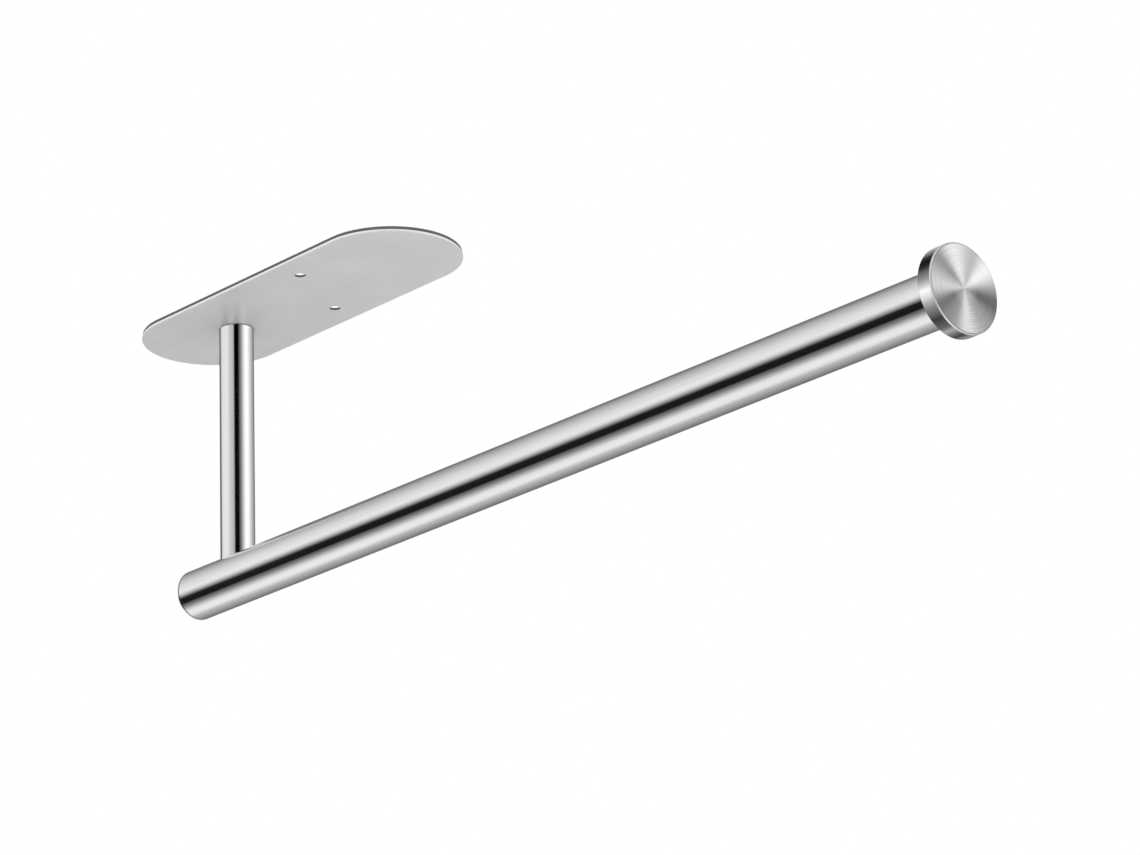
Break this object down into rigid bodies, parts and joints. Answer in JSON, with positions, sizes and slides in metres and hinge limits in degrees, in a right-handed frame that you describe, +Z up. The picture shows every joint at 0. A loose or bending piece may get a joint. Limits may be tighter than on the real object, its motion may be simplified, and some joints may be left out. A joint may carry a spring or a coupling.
{
  "type": "under-cabinet paper towel holder",
  "caption": "Flat obround plate for a cabinet's underside, with one post that carries a long horizontal arm ending in a larger round disc. The roll slides over the disc.",
  "frame": {"origin": "centre of the adhesive face that meets the cabinet's underside, over the middle of the obround plate", "axes": "+Z up into the cabinet, +X along the arm from its capped short end towards its end disc, +Y across the plate"},
  "size_m": [0.3488, 0.046, 0.0988],
  "materials": {
    "satin_plate": "fine satin, nearly even",
    "polished_tube": "polished, with a faint lengthwise grain",
    "spun_disc": "fine circular turning marks about the centre",
    "hidden_steel": "plain machined",
    "adhesive_foam": "matt grey closed-cell foam"
  },
  "bodies": {
    "root": {"mounting_plate": "satin_plate", "adhesive_tape": "adhesive_foam", "post_screw": "hidden_steel", "post_tube": "polished_tube", "post_top_plug": "hidden_steel", "post_bottom_plug": "hidden_steel", "post_stud": "hidden_steel", "arm_tube": "polished_tube", "arm_insert": "hidden_steel", "arm_end_cap": "polished_tube", "disc_plug": "hidden_steel", "disc_stud": "hidden_steel", "end_disc": "spun_disc"}
  },
  "joints": []
}
